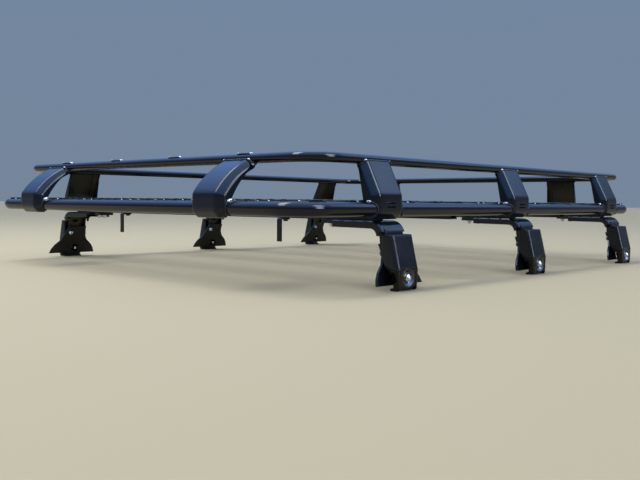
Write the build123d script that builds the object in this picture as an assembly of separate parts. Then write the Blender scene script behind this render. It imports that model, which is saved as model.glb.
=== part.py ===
from build123d import *
import math
import os

os.makedirs("parts", exist_ok=True)

# Roof rack on six clamp legs. Millimetres, X across, -Y towards the front, +Z up, floor at z = 0.

# Rails
upper_tube = 22.2
lower_tube = 31.8
rail_height = 176.0
rail_gap = 110.0
upper_half_width = 619.0
side_lean = 33.0
front_lean = 72.0
rear_lean = 0.0
rail_length = 1640.0
bend_radius = 76.0
weld_gap = 0.1

# Lamp tabs on the front upper rail
tab_width = 44.0
tab_depth = 14.0
tab_thick = 4.0
tab_pitch = 260.0
tab_shift = 13.0

# Posts, pressed from sheet
post_width = 108.0
post_bevel = 15.0
post_wall = 3.0
post_knee = 32.0
post_drop = 3.0
post_turn = 8.0
post_under = 3.0
end_post_stand = 14.0
end_post_heel = 2.0
front_bulge = 8.0
end_post_x = 402.0
front_post_shift = -15.0
rear_post_shift = -6.0
side_post_shift = {"left": [0.0, -14.0, -9.0], "right": [4.0, 0.0, 4.0]}
slot_width = 30.0
slot_height = 4.0
slot_pitch = 8.5
slot_rise = 5.0

# Arms, pressed channels that bend down past the rail
leg_mid_y = 42.0
leg_pitch = 597.0
arm_width = 84.0
arm_wall = 3.5
arm_bevel = 3.0
arm_gap = 9.1
arm_reach = 28.0
arm_bend = 35.0
arm_turn = 80.8
arm_flange = 118.0
arm_tip = 167.0
arm_depth = 16.0
arm_throat = 17.0
arm_end_z = 42.0
neck_slot = 20.0
cheek_step = 9.0
tip_width = 52.0
tip_depth = 9.0

# Feet, flared plates under the arms
foot_out = 42.0
foot_low = 12.0
foot_lean = 29.5
foot_length = 162.0
foot_shift = 6.5
foot_toe = 28.0
foot_wall = 5.0

# Clamps, hinged at the top of each leg
pin_drop = 43.0
pin_radius = 4.0
pin_clear = 0.3
knuckle_wall = 3.0
knuckle_long = 24.0
clamp_width = 76.0
clamp_wall = 2.0
clamp_bevel = 6.0
clamp_roof = 14.0
clamp_out = 69.0
cap_drop = 17.0
cap_tail = 6.0
jaw_width = 60.0
jaw_depth = 22.0
lip_thick = 5.0
lip_gap = 10.0
moving_gap = 5.0
bolt_z = 28.0
bolt_radius = 4.0
bolt_head = 15.0
dish_radius = 19.5
dish_depth = 6.0

# Cross bars and mesh floor
bar_width = 30.0
bar_wall = 2.5
mesh_strip = 2.0
mesh_layer = 2.0
mesh_long = 101.6
mesh_short = 36.0

# Drop stays
stay_x = 347.0
stay_width = 14.0
stay_thick = 4.0
stay_leg = 31.0
stay_drop = 58.0

r_up = upper_tube / 2
r_low = lower_tube / 2
lower_half_width = upper_half_width + side_lean
upper_z = rail_height + rail_gap
half_length = rail_length / 2
upper_front = front_lean - half_length
upper_rear = half_length - rear_lean
floor_z = rail_height + r_low
leg_rows = [leg_mid_y - leg_pitch, leg_mid_y, leg_mid_y + leg_pitch]
sides = [("left", 1), ("right", -1)]


def save(shape, name):
    shape.label = name
    export_step(shape, "parts/" + name + ".step")


def largest(shape):
    return max(shape.solids(), key=lambda s: s.volume)


def side_line(*points):
    return Polyline(*[(x, 0, z) for x, z in points])


def slab(points, width):
    face = make_face(side_line(*points, points[0]))
    return extrude(face, amount=width / 2, dir=(0, 1, 0), both=True)


def rod(x, z, radius, length):
    return Pos(x, 0, z) * Rot(90, 0, 0) * Cylinder(radius, length)


# The long edges of a side profile that run along a ridge line, bevelled
def bevelled(face, width, bevel, ridge, inset):
    block = extrude(face, amount=width / 2, dir=(0, 1, 0), both=True)
    long_edges = []
    for e in block.edges():
        p = e @ 0.5
        off = min(line.distance_to(Vector(p.X, 0, p.Z)) for line in ridge)
        if abs(abs(p.Y) - width / 2) < 0.01 and abs(off - inset) < 0.05:
            long_edges.append(e)
    return chamfer(long_edges, bevel)


# A channel pressed from sheet: skin is its outer line in side view, back closes the open side
def channel(skin, back, ridge, width, bevel, wall):
    start = skin[0] @ 0
    end = skin[-1] @ 1
    before = start - (skin[0] % 0) * 3 * width
    after = end + (skin[-1] % 1) * 3 * width
    runs = [Line(before, start), Line(end, after)]
    inner = make_face([runs[0]] + skin + [runs[1], Line(after, before)])
    inner = offset(inner, amount=-wall, kind=Kind.INTERSECTION)
    inner_ridge = ridge + [r for r in runs if min(r.distance_to(line) for line in ridge) < 0.01]
    shell = bevelled(make_face(skin + back), width, bevel, ridge, 0)
    inner_bevel = bevel - wall * (2 - math.sqrt(2))
    return shell - bevelled(inner, width - 2 * wall, inner_bevel, inner_ridge, wall)


def loop(half_x, y_front, y_rear, z, tube):
    y_mid = (y_front + y_rear) / 2
    path = Pos(0, y_mid, z) * RectangleRounded(2 * half_x, y_rear - y_front, bend_radius)
    wire = path.wires()[0]
    start = Plane(origin=wire @ 0, z_dir=wire % 0)
    return sweep(start * Circle(tube / 2), path=wire)


# Rails, two closed loops of bent tube
upper_rail = loop(upper_half_width, upper_front, upper_rear, upper_z, upper_tube)
lower_rail = loop(lower_half_width, -half_length, half_length, rail_height, lower_tube)
tab_z = upper_z + r_up - 1
for i in (-1.5, -0.5, 0.5, 1.5):
    tab = Box(tab_width, tab_depth, tab_thick)
    tab = chamfer(tab.edges().filter_by(Axis.Z), tab_thick)
    upper_rail = upper_rail + Pos(tab_shift + i * tab_pitch, upper_front, tab_z + tab_thick / 2) * tab
save(upper_rail, "upper_rail")
save(lower_rail, "lower_rail")


# Posts, drawn with x outwards from the upper rail
def post(lean, stand, heel, bulge, slots):
    seat = 2 * weld_gap + post_wall
    face_x = lean + r_low + seat + stand
    under = rail_height - r_low - seat - post_under
    top = Vector(r_up + seat, 0, upper_z - post_drop)
    knee = Vector(face_x, 0, rail_height + post_knee)
    slant = math.atan2(knee.X - top.X, top.Z - knee.Z)
    crown = (top + knee) * 0.5 + Vector(math.cos(slant), 0, math.sin(slant)) * bulge
    turn = rail_height - post_turn
    skin = [
        ThreePointArc(top, crown, knee) if bulge else Line(top, knee),
        side_line(
            (knee.X, knee.Z),
            (face_x, turn),
            (face_x - (turn - under), under),
            (lean, under),
        ),
    ]
    low_end = Vector(lean + heel, 0, floor_z - 3)
    high_end = Vector(-1, 0, upper_z - r_up)
    hollow = (low_end + high_end) * 0.5 + Vector(math.cos(slant), 0, math.sin(slant)) * bulge
    back = [
        Line((lean, 0, under), low_end),
        ThreePointArc(low_end, hollow, high_end) if bulge else Line(low_end, high_end),
        Line(high_end, top),
    ]
    body = channel(skin, back, skin, post_width, post_bevel, post_wall)
    body = body - rod(0, upper_z, r_up + weld_gap, 2 * post_width)
    body = body - rod(lean, rail_height, r_low + weld_gap, 2 * post_width)
    for k in range(slots):
        z = rail_height + slot_rise + k * slot_pitch
        body = body - Pos(face_x, 0, z) * Box(3 * post_wall, slot_width, slot_height)
    return largest(body)


side_post = post(side_lean, 0, -r_low, 0, 2)
front_post = post(front_lean, end_post_stand, end_post_heel, front_bulge, 0)
rear_post = post(rear_lean, end_post_stand, end_post_heel, 0, 0)
front_post_x = [front_post_shift - end_post_x, front_post_shift + end_post_x]
rear_post_x = [rear_post_shift - end_post_x, rear_post_shift + end_post_x]
side_post_y = {side: [y + d for y, d in zip(leg_rows, side_post_shift[side])] for side, s in sides}
for side, s in sides:
    facing = Rot(0, 0, 0) if s == 1 else Rot(0, 0, 180)
    for i, y in enumerate(side_post_y[side]):
        save(Pos(s * upper_half_width, y, 0) * facing * side_post, f"post_{side}_{i + 1}")
    save(Pos(front_post_x[(s + 1) // 2], upper_front, 0) * Rot(0, 0, -90) * front_post, f"post_front_{side}")
    save(Pos(rear_post_x[(s + 1) // 2], upper_rear, 0) * Rot(0, 0, 90) * rear_post, f"post_rear_{side}")

# Cross bars, box tubes from side to side between the arms and the floor
arm_top = rail_height - r_low - arm_gap
bar_height = floor_z - arm_top
bar_z = arm_top + bar_height / 2
bar_end = lower_half_width - r_low - 2 * weld_gap
bar_ys = [leg_rows[0] + k * leg_pitch / 2 for k in range(5)]
for k, y in enumerate(bar_ys):
    bar = Box(2 * bar_end, bar_width, bar_height)
    bar = bar - Box(2 * bar_end + 1, bar_width - 2 * bar_wall, bar_height - 2 * bar_wall)
    save(Pos(0, y, bar_z) * bar, f"cross_bar_{k + 1}")

# Floor mesh, two layers of slanted strands inside the lower rail, notched round the posts
angle = math.degrees(math.atan2(mesh_short, mesh_long))
notch_in = r_low + post_wall + 1
field = RectangleRounded(2 * lower_half_width, rail_length, bend_radius)
for side, s in sides:
    for y in side_post_y[side]:
        field = field - Pos(s * lower_half_width, y) * Rectangle(2 * notch_in, post_width + 2)
for y, xs in ((-half_length, front_post_x), (half_length, rear_post_x)):
    for x in xs:
        field = field - Pos(x, y) * Rectangle(post_width + 2, 2 * notch_in)
reach = rail_length * math.tan(math.radians(angle)) / 2 + lower_half_width
count = int(reach / mesh_short) + 2
for k, lay in enumerate(("lower", "upper")):
    tilt = angle if k == 0 else -angle
    strands = []
    for i in range(-count, count):
        strand = Pos((i + 0.5) * mesh_short, 0) * Rot(0, 0, tilt) * Rectangle(mesh_strip, 1.3 * rail_length)
        piece = field & strand
        strands += [f for f in piece.faces() if f.area > 30] if piece is not None else []
    base = floor_z + weld_gap + k * mesh_layer
    solids = [extrude(Pos(0, 0, base) * f, amount=mesh_layer, dir=(0, 0, 1)) for f in strands]
    save(Compound(children=solids), f"floor_{lay}")

# Legs, drawn for the left side with x outwards
skin_x = lower_half_width + arm_reach
bend_x = skin_x - arm_bend
bend_z = arm_top - arm_bend
gutter_x = lower_half_width + foot_out
pin_x = gutter_x - 2
pin_z = arm_top - pin_drop
foot_top = pin_z - pin_radius - knuckle_wall
foot_slope = foot_lean / (foot_top - foot_low)


def arm_arc(radius, turn):
    a = math.radians(turn)
    return Vector(bend_x + radius * math.sin(a), 0, bend_z + radius * math.cos(a))


def foot_line(z):
    return gutter_x - (z - foot_low) * foot_slope


skin_end = arm_arc(arm_bend, arm_turn)
skin_low = skin_end + Vector(math.cos(math.radians(arm_turn)), 0, -math.sin(math.radians(arm_turn))) * (
    (skin_end.Z - arm_end_z) / math.sin(math.radians(arm_turn))
)
flange_x = lower_half_width - arm_flange
seat = 2 * weld_gap
arm_skin = [
    Line((flange_x, 0, arm_top), (bend_x, 0, arm_top)),
    ThreePointArc((bend_x, 0, arm_top), arm_arc(arm_bend, arm_turn / 2), skin_end),
    Line(skin_end, skin_low),
]
arm_back = [
    Line(skin_low, (foot_line(arm_end_z) + seat, 0, arm_end_z)),
    Line((foot_line(arm_end_z) + seat, 0, arm_end_z), (foot_line(foot_top) + seat, 0, foot_top)),
    Line((foot_line(foot_top) + seat, 0, foot_top), arm_arc(arm_bend - arm_throat, 90)),
    ThreePointArc(
        arm_arc(arm_bend - arm_throat, 90),
        arm_arc(arm_bend - arm_throat, 45),
        arm_arc(arm_bend - arm_throat, 0),
    ),
    Line(arm_arc(arm_bend - arm_throat, 0), (flange_x, 0, arm_top - arm_depth)),
    Line((flange_x, 0, arm_top - arm_depth), (flange_x, 0, arm_top)),
]
neck_width = clamp_width - 2 * clamp_wall - 2 * moving_gap
cheek_x = pin_x - 16
clamp_top = pin_z + clamp_roof
neck_top = clamp_top + moving_gap
arm = channel(arm_skin, arm_back, arm_skin, arm_width, arm_bevel, arm_wall)
cheek_end = cheek_x - moving_gap - 1
shoulder = Pos(cheek_end + arm_bend, 0, 0) * Box(2 * arm_bend, 2 * arm_width, 2 * neck_top)
below = Pos(cheek_end, 0, 0) * Box(2 * arm_bend, 2 * arm_width, 2 * (neck_top - cheek_step))
arm = largest(arm - shoulder - below)
neck_line = [arm_arc(arm_bend, 60), skin_end, skin_low, arm_back[0] @ 1, arm_back[1] @ 1]
neck_line = neck_line + [arm_arc(arm_bend - arm_throat, a) for a in (75, 50)]
neck = slab([(q.X, q.Z) for q in neck_line], neck_width)
neck = neck - slab(
    [
        ((arm_arc(arm_bend - arm_wall, 55)).X, neck_top + arm_bend),
        (arm_arc(arm_bend - arm_wall, 60).X, arm_arc(arm_bend - arm_wall, 60).Z),
        (skin_end.X - arm_wall, skin_end.Z),
        (skin_low.X - arm_wall, skin_low.Z - 1),
        (bend_x - arm_bend, skin_low.Z - 1),
        (bend_x - arm_bend, neck_top + arm_bend),
    ],
    neck_width - 2 * arm_wall,
)
neck_hole = extrude(SlotOverall(neck_slot, neck_slot / 2), amount=4 * arm_wall, both=True)
neck = neck - Pos(skin_x, 0, clamp_top - 2) * Rot(0, 90, 0) * Rot(0, 0, 90) * neck_hole
arm = arm + neck
tip_len = arm_tip - arm_flange + arm_width
tip = Box(tip_len, tip_width, tip_depth)
tip = tip - Pos(0, 0, -arm_wall) * Box(tip_len + 1, tip_width - 2 * arm_wall, tip_depth)
arm = arm + Pos(lower_half_width - arm_tip + tip_len / 2, 0, arm_top - tip_depth / 2) * tip
knuckle = pin_radius + knuckle_wall
lug_root = skin_x - arm_wall / 2 - pin_x
lug = [
    (lug_root, -0.8 * knuckle),
    (lug_root, 0.8 * knuckle),
    (0.45 * knuckle, knuckle),
    (knuckle, 0.45 * knuckle),
    (knuckle, -0.45 * knuckle),
    (0.45 * knuckle, -knuckle),
]
arm = arm + slab([(pin_x + x, pin_z + z) for x, z in lug], knuckle_long)
arm = arm - rod(pin_x, pin_z, pin_radius + pin_clear, clamp_width)
arm = largest(arm)

# Foot, a flared plate that leans inside the arm and stands on its lower edge
foot_len = math.hypot(foot_lean, foot_top - foot_low)
back_x = foot_wall * foot_len / (foot_top - foot_low)
foot_side = slab(
    [
        (foot_line(foot_top), foot_top),
        (gutter_x, foot_low),
        (gutter_x - back_x, foot_low),
        (foot_line(foot_top) - back_x, foot_top),
    ],
    2 * foot_length,
)
toe = foot_length / 2
waist = neck_width / 2
flare = [
    (toe, foot_low),
    (toe - 5, foot_low + foot_toe / 2),
    (toe - 15, foot_low + foot_toe),
    (waist + 16, foot_low + foot_toe + 16),
    (waist + 5, foot_low + foot_toe + 36),
]
front_edge = [(0, foot_shift - y, z) for y, z in flare] + [(0, -waist, foot_top)]
rear_edge = [(0, foot_shift + y, z) for y, z in flare] + [(0, waist, foot_top)]
flare_face = make_face(Polyline(*rear_edge, *reversed(front_edge), close=True))
foot = foot_side & extrude(flare_face, amount=2 * gutter_x, dir=(1, 0, 0))
window = 2 * (bolt_radius + moving_gap + 2)
foot = foot - Pos(gutter_x, 0, bolt_z) * Box(3 * foot_lean, window, window)
foot = largest(foot)

# Clamp, a pressed cap over a hooked jaw, hung on a pin through its cheeks
cap_x = pin_x + 10
cap_low = bolt_z + cap_drop
tail_z = bolt_z + cap_tail
lip_x = lower_half_width + clamp_out
cheek_gap = moving_gap + 1
cheek_z = foot_low + (gutter_x - cheek_x + cheek_gap) / foot_slope


def cheek(z):
    return foot_line(z) + cheek_gap


cap_front = [side_line((cap_x, clamp_top), (lip_x, cap_low))]
cap_roof = [side_line((cheek_x, clamp_top - 3), (cap_x, clamp_top))]
cap_back = [
    side_line(
        (lip_x, cap_low),
        (lip_x - clamp_bevel - 1, cap_low - 3),
        (cheek(tail_z) + 8, cap_low - 6),
        (cheek(tail_z) + 5, tail_z),
        (cheek(tail_z), tail_z),
        (cheek_x, cheek_z),
        (cheek_x, clamp_top - 3),
    )
]
cap = channel(cap_roof + cap_front, cap_back, cap_front, clamp_width, clamp_bevel, clamp_wall)
door_x = skin_x + moving_gap + 4
cap = cap - Pos(door_x - 20, 0, clamp_top) * Box(40, clamp_width - 2 * clamp_wall, 20)
arch = Rot(0, 90, 0) * Cylinder(dish_radius + 2, jaw_depth)
cap = cap - Pos(lip_x, 0, bolt_z) * arch
jaw_x = lip_x - 0.75 * clamp_wall
jaw = slab(
    [
        (jaw_x, cap_low + 6),
        (jaw_x, lip_gap - 1),
        (gutter_x + 14, 0),
        (gutter_x + 1, 0),
        (gutter_x, lip_thick),
        (gutter_x + 8, lip_thick + 2),
        (gutter_x + 11, lip_gap + 3),
        (gutter_x + 11, bolt_z),
        (jaw_x - jaw_depth, cap_low + 6),
    ],
    jaw_width,
)
jaw_edges = [e for e in jaw.edges().filter_by(Axis.Z) if abs((e @ 0.5).X - jaw_x) < 0.01]
jaw = chamfer(jaw_edges, clamp_bevel - clamp_wall)
dish = Pos(jaw_x - dish_depth / 2, 0, bolt_z) * Rot(0, 90, 0) * Cone(dish_radius - 5, dish_radius, dish_depth)
clamp = cap + jaw - dish
clamp = clamp - Pos(gutter_x, 0, bolt_z) * Rot(0, 90, 0) * Cylinder(bolt_radius + weld_gap, 4 * jaw_depth)
clamp = clamp + rod(pin_x, pin_z, pin_radius, clamp_width)
clamp = largest(clamp)

# Clamp bolt, its head in the dish and its end through the foot
seat_x = jaw_x - dish_depth
bolt_end = foot_line(bolt_z) - 2 * foot_wall
head = extrude(RegularPolygon(bolt_head / 2, 6, major_radius=False), amount=9)
head = chamfer(head.faces().sort_by(Axis.Z)[-1].edges(), 2)
bolt = Pos(seat_x, 0, bolt_z) * Rot(0, 90, 0) * head
shank = Cylinder(bolt_radius, seat_x - bolt_end)
bolt = bolt + Pos((seat_x + bolt_end) / 2, 0, bolt_z) * Rot(0, 90, 0) * shank

for side, s in sides:
    facing = Rot(0, 0, 0) if s == 1 else Rot(0, 0, 180)
    for i, y in enumerate(leg_rows):
        spot = Pos(0, y, 0) * facing
        save(spot * arm, f"arm_{side}_{i + 1}")
        save(spot * foot, f"foot_{side}_{i + 1}")
        save(spot * clamp, f"clamp_{side}_{i + 1}")
        save(spot * bolt, f"bolt_{side}_{i + 1}")

# Two drop stays under the first cross bar, each a bent strip with its bolt
for side, s in sides:
    y = leg_rows[0]
    strip = Box(stay_width, stay_leg, stay_thick, align=(Align.CENTER, Align.MAX, Align.MAX))
    drop = Box(stay_width, stay_thick, stay_drop, align=(Align.CENTER, Align.MIN, Align.MAX))
    stay = strip + Pos(0, -stay_leg, 0) * drop
    bend = Vector(0, -stay_leg, 0)
    corner = [e for e in stay.edges().filter_by(Axis.X) if ((e @ 0.5) - bend).length < 0.01]
    stay = chamfer(corner, stay_thick * 0.7)
    stay = stay + Pos(0, -8, -stay_thick - 4) * extrude(RegularPolygon(6, 6), amount=4)
    save(Pos(s * stay_x, y, arm_top) * stay, f"stay_{side}")
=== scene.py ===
import math
import random

import bmesh
import bpy
from mathutils import Matrix, Vector


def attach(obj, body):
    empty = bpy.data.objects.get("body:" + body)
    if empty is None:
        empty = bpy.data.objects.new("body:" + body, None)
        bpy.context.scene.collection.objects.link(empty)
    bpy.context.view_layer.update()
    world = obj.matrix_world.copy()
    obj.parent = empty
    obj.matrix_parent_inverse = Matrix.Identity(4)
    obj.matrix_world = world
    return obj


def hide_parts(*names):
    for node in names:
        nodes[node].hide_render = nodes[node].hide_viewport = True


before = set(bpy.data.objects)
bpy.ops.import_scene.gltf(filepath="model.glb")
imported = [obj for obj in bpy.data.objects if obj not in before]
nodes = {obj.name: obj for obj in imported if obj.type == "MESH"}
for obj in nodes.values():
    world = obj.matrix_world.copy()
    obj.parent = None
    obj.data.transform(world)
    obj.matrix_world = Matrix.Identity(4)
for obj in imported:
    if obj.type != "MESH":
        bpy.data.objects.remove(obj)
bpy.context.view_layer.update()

# Viewpoint: low beside the front left corner, just under the rails, looking
# along the rack with a slight tilt of the horizon.
eye = Vector((1.72777, -1.91641, 0.19036))
heading = math.radians(43.033)
dip = math.radians(2.773)
roll = math.radians(0.577)
film_width = 36
focal_length = 779.2
picture_width = 640
ahead = Vector((
    -math.sin(heading) * math.cos(dip), math.cos(heading) * math.cos(dip), -math.sin(dip),
))
level = Vector((math.cos(heading), math.sin(heading), 0))
upright = level.cross(ahead)
across = math.cos(roll) * level + math.sin(roll) * upright
above = -math.sin(roll) * level + math.cos(roll) * upright
lens = bpy.data.cameras.new("viewpoint")
lens.sensor_fit = "HORIZONTAL"
lens.sensor_width = film_width
lens.lens = film_width * focal_length / picture_width
lens.clip_start = 0.02
lens.clip_end = 200
camera = bpy.data.objects.new("viewpoint", lens)
turn = Matrix((across, above, -ahead)).transposed()
camera.matrix_world = Matrix.Translation(eye) @ turn.to_4x4()
bpy.context.scene.collection.objects.link(camera)
bpy.context.scene.camera = camera

# Studio: a plain pale floor under a sky dome, and one large soft lamp high on
# the front right. Three bright patches of the dome show in gloss alone, where
# they draw a light line along the folded edges.
half = 60.0
corners = [(-half, -half, 0), (half, -half, 0), (half, half, 0), (-half, half, 0)]
floor_mesh = bpy.data.meshes.new("studio_floor")
floor_mesh.from_pydata(corners, [], [(0, 1, 2, 3)])
studio_floor = bpy.data.objects.new("studio_floor", floor_mesh)
bpy.context.scene.collection.objects.link(studio_floor)
pale = bpy.data.materials.new("pale_floor")
pale.use_nodes = True
plain = pale.node_tree.nodes["Principled BSDF"]
plain.inputs["Base Color"].default_value = (0.57, 0.52, 0.385, 1)
plain.inputs["Roughness"].default_value = 0.9
plain.inputs["Specular IOR Level"].default_value = 0.1
floor_mesh.materials.append(pale)

sky_stops = [
    (0.0, (0.18, 0.24, 0.33)),
    (0.28, (0.17, 0.24, 0.35)),
    (0.36, (0.28, 0.46, 0.84)),
    (0.48, (0.32, 0.64, 1.50)),
    (0.62, (0.52, 1.00, 2.20)),
    (1.0, (1.20, 2.00, 3.40)),
]
sky_patches = [
    ((0.94, 0.13, 0.32), 7, 14, (8.5, 9.6, 11.0)),
    ((0.70, 0.18, 0.69), 8, 16, (8.0, 9.2, 11.0)),
    ((0.37, 0.77, 0.53), 4, 12, (1.15, 1.70, 2.75)),
]
soft_light = (0.58, 0.62, 0.68, 1)
dome = bpy.data.worlds.new("sky_dome")
bpy.context.scene.world = dome
dome.use_nodes = True
tree = dome.node_tree
backing = tree.nodes["Background"]
coords = tree.nodes.new("ShaderNodeTexCoord")
split = tree.nodes.new("ShaderNodeSeparateXYZ")
fade = tree.nodes.new("ShaderNodeValToRGB")
rays = tree.nodes.new("ShaderNodeLightPath")
shown = tree.nodes.new("ShaderNodeMath")
blend = tree.nodes.new("ShaderNodeMix")
shown.operation = "MAXIMUM"
blend.data_type = "RGBA"
tree.links.new(coords.outputs["Generated"], split.inputs["Vector"])
tree.links.new(split.outputs["Z"], fade.inputs["Fac"])
tree.links.new(rays.outputs["Is Camera Ray"], shown.inputs[0])
tree.links.new(rays.outputs["Is Glossy Ray"], shown.inputs[1])
tree.links.new(shown.outputs[0], blend.inputs["Factor"])
sky = fade.outputs["Color"]
for toward, inner, outer, colour in sky_patches:
    near = tree.nodes.new("ShaderNodeVectorMath")
    near.operation = "DOT_PRODUCT"
    near.inputs[1].default_value = Vector(toward).normalized()
    tree.links.new(coords.outputs["Generated"], near.inputs[0])
    edge = tree.nodes.new("ShaderNodeMapRange")
    edge.inputs["From Min"].default_value = math.cos(math.radians(outer))
    edge.inputs["From Max"].default_value = math.cos(math.radians(inner))
    tree.links.new(near.outputs["Value"], edge.inputs["Value"])
    only = tree.nodes.new("ShaderNodeMath")
    only.operation = "MULTIPLY"
    tree.links.new(edge.outputs["Result"], only.inputs[0])
    tree.links.new(rays.outputs["Is Glossy Ray"], only.inputs[1])
    panel = tree.nodes.new("ShaderNodeMix")
    panel.data_type = "RGBA"
    tree.links.new(only.outputs[0], panel.inputs["Factor"])
    tree.links.new(sky, panel.inputs["A"])
    panel.inputs["B"].default_value = (*colour, 1)
    sky = panel.outputs["Result"]
tree.links.new(sky, blend.inputs["B"])
tree.links.new(blend.outputs["Result"], backing.inputs["Color"])
blend.inputs["A"].default_value = soft_light
fade.color_ramp.elements[1].position = 1.0
for _ in sky_stops[2:]:
    fade.color_ramp.elements.new(0.5)
for element, (place, colour) in zip(fade.color_ramp.elements, sky_stops):
    element.position = place
    element.color = (*colour, 1)

key = bpy.data.lights.new("key", "AREA")
key.shape = "RECTANGLE"
key.size, key.size_y = 1.2, 4.4
key.energy = 150
key.color = (1.0, 0.96, 0.90)
key_place = Vector((-1.2, -2.1, 4.6))
key_target = Vector((0, 0, 0.1))
key_long = Vector((0.19, -0.98, 0))
back = (key_place - key_target).normalized()
up = (key_long - back * key_long.dot(back)).normalized()
holder = bpy.data.objects.new("key", key)
holder.location = key_place
holder.rotation_euler = Matrix((up.cross(back), up, back)).transposed().to_euler()
holder.visible_camera = False
bpy.context.scene.collection.objects.link(holder)

# Rails: two closed loops of bent steel tube, butt-welded at the middle of the
# rear and painted in gloss navy black with a clear, faintly rippled skin.
upper_tube = 0.0222
lower_tube = 0.0318
rail_height = 0.176
rail_gap = 0.110
upper_half_width = 0.619
side_lean = 0.033
front_lean = 0.072
rail_length = 1.640
bend_radius = 0.076
tube_sides = 48
lower_half_width = upper_half_width + side_lean
upper_z = rail_height + rail_gap
r_up = upper_tube / 2
r_low = lower_tube / 2
half_length = rail_length / 2
upper_front = front_lean - half_length


def group(name, inputs, outputs):
    g = bpy.data.node_groups.new(name, "ShaderNodeTree")
    for label, kind, value in inputs:
        s = g.interface.new_socket(label, in_out="INPUT", socket_type=kind)
        s.default_value = value
    for label, kind in outputs:
        g.interface.new_socket(label, in_out="OUTPUT", socket_type=kind)
    return g, g.nodes.new("NodeGroupInput"), g.nodes.new("NodeGroupOutput")


def add(tree, kind, links=None, **settings):
    node = tree.nodes.new(kind)
    for key, value in settings.items():
        setattr(node, key, value)
    for label, source in (links or {}).items():
        if isinstance(source, bpy.types.NodeSocket):
            tree.links.new(source, node.inputs[label])
        else:
            node.inputs[label].default_value = source
    return node


def mapped(tree, source, span, onto=(0.0, 1.0)):
    limits = {
        "From Min": span[0], "From Max": span[1], "To Min": onto[0], "To Max": onto[1],
    }
    return add(tree, "ShaderNodeMapRange", {"Value": source, **limits}).outputs["Result"]


def times(tree, a, b):
    return add(tree, "ShaderNodeMath", {0: a, 1: b}, operation="MULTIPLY").outputs[0]


def mixed(tree, share, a, b):
    links = {"Factor": share, "A": a, "B": b}
    return add(tree, "ShaderNodeMix", links, data_type="RGBA").outputs["Result"]


def noise(tree, place, scale, detail, rough=0.5):
    links = {
        "Vector": place.outputs["Object"], "Scale": scale, "Detail": detail, "Roughness": rough,
    }
    return add(tree, "ShaderNodeTexNoise", links).outputs["Fac"]


def paint_skin():
    g, inside, outside = group(
        "paint_skin",
        [
            ("Ripple", "NodeSocketFloat", 0.3),
            ("Roughness", "NodeSocketFloat", 0.15),
            ("Dust", "NodeSocketFloat", 0.3),
        ],
        [(label, "NodeSocketFloat") for label in ("Height", "Roughness", "Dust")],
    )
    place = add(g, "ShaderNodeTexCoord")
    peel = noise(g, place, scale=260.0, detail=2.0)
    wave = noise(g, place, scale=34.0, detail=1.0)
    swell = add(g, "ShaderNodeMath", {0: peel, 1: 0.12, 2: wave}, operation="MULTIPLY_ADD")
    lift = times(g, swell.outputs[0], inside.outputs["Ripple"])
    g.links.new(lift, outside.inputs["Height"])
    smear = noise(g, place, scale=9.0, detail=5.0, rough=0.65)
    spread = mapped(g, smear, (0.35, 0.7), onto=(0.75, 1.6))
    rough = times(g, inside.outputs["Roughness"], spread)
    g.links.new(rough, outside.inputs["Roughness"])
    facing = add(g, "ShaderNodeSeparateXYZ", {0: place.outputs["Normal"]})
    top = mapped(g, facing.outputs["Z"], (0.35, 1.0))
    grit = noise(g, place, scale=420.0, detail=3.0)
    speck = mapped(g, grit, (0.48, 0.75))
    patch = mapped(g, smear, (0.40, 0.68))
    lying = times(g, times(g, speck, patch), top)
    g.links.new(times(g, lying, inside.outputs["Dust"]), outside.inputs["Dust"])
    return g


def soft_edges():
    g, inside, outside = group(
        "soft_edges",
        [("Radius", "NodeSocketFloat", 0.001)],
        [("Normal", "NodeSocketVector"), ("Edge", "NodeSocketFloat")],
    )
    bevel = add(g, "ShaderNodeBevel", {"Radius": inside.outputs["Radius"]}, samples=6)
    true = add(g, "ShaderNodeNewGeometry").outputs["Normal"]
    links = {0: bevel.outputs[0], 1: true}
    dot = add(g, "ShaderNodeVectorMath", links, operation="DOT_PRODUCT")
    edge = mapped(g, dot.outputs["Value"], (0.995, 0.86))
    g.links.new(bevel.outputs[0], outside.inputs["Normal"])
    g.links.new(edge, outside.inputs["Edge"])
    return g


skin_group = paint_skin()
edge_group = soft_edges()
dust_colour = (0.34, 0.32, 0.27, 1)


def blank(name):
    m = bpy.data.materials.new(name)
    m.use_nodes = True
    return m, m.node_tree, m.node_tree.nodes["Principled BSDF"]


def bumped(tree, shader, links, strength, distance):
    bump = add(tree, "ShaderNodeBump", links)
    bump.inputs["Strength"].default_value = strength
    bump.inputs["Distance"].default_value = distance
    tree.links.new(bump.outputs["Normal"], shader.inputs["Normal"])


def painted(name, colour, rough, ripple, dust, edge, rub, worn):
    m, t, shader = blank(name)
    settings = {"Ripple": ripple, "Roughness": rough, "Dust": dust}
    skin = add(t, "ShaderNodeGroup", settings, node_tree=skin_group)
    edges = add(t, "ShaderNodeGroup", {"Radius": edge}, node_tree=edge_group)
    place = add(t, "ShaderNodeTexCoord")
    dark, light = [(*[c * share for c in colour], 1) for share in (0.7, 1.35)]
    tone = mixed(t, noise(t, place, scale=14.0, detail=4.0), dark, light)
    flakes = noise(t, place, scale=300.0, detail=4.0)
    chips = mapped(t, flakes, (0.60, 0.68), onto=(0.0, rub))
    rubbed = mixed(t, times(t, chips, edges.outputs["Edge"]), tone, (*worn, 1))
    dusted = mixed(t, skin.outputs["Dust"], rubbed, dust_colour)
    t.links.new(dusted, shader.inputs["Base Color"])
    t.links.new(skin.outputs["Roughness"], shader.inputs["Roughness"])
    relief = {"Height": skin.outputs["Height"], "Normal": edges.outputs["Normal"]}
    bumped(t, shader, relief, strength=0.25, distance=0.0004)
    shader.inputs["Specular IOR Level"].default_value = 0.32
    return m


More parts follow.
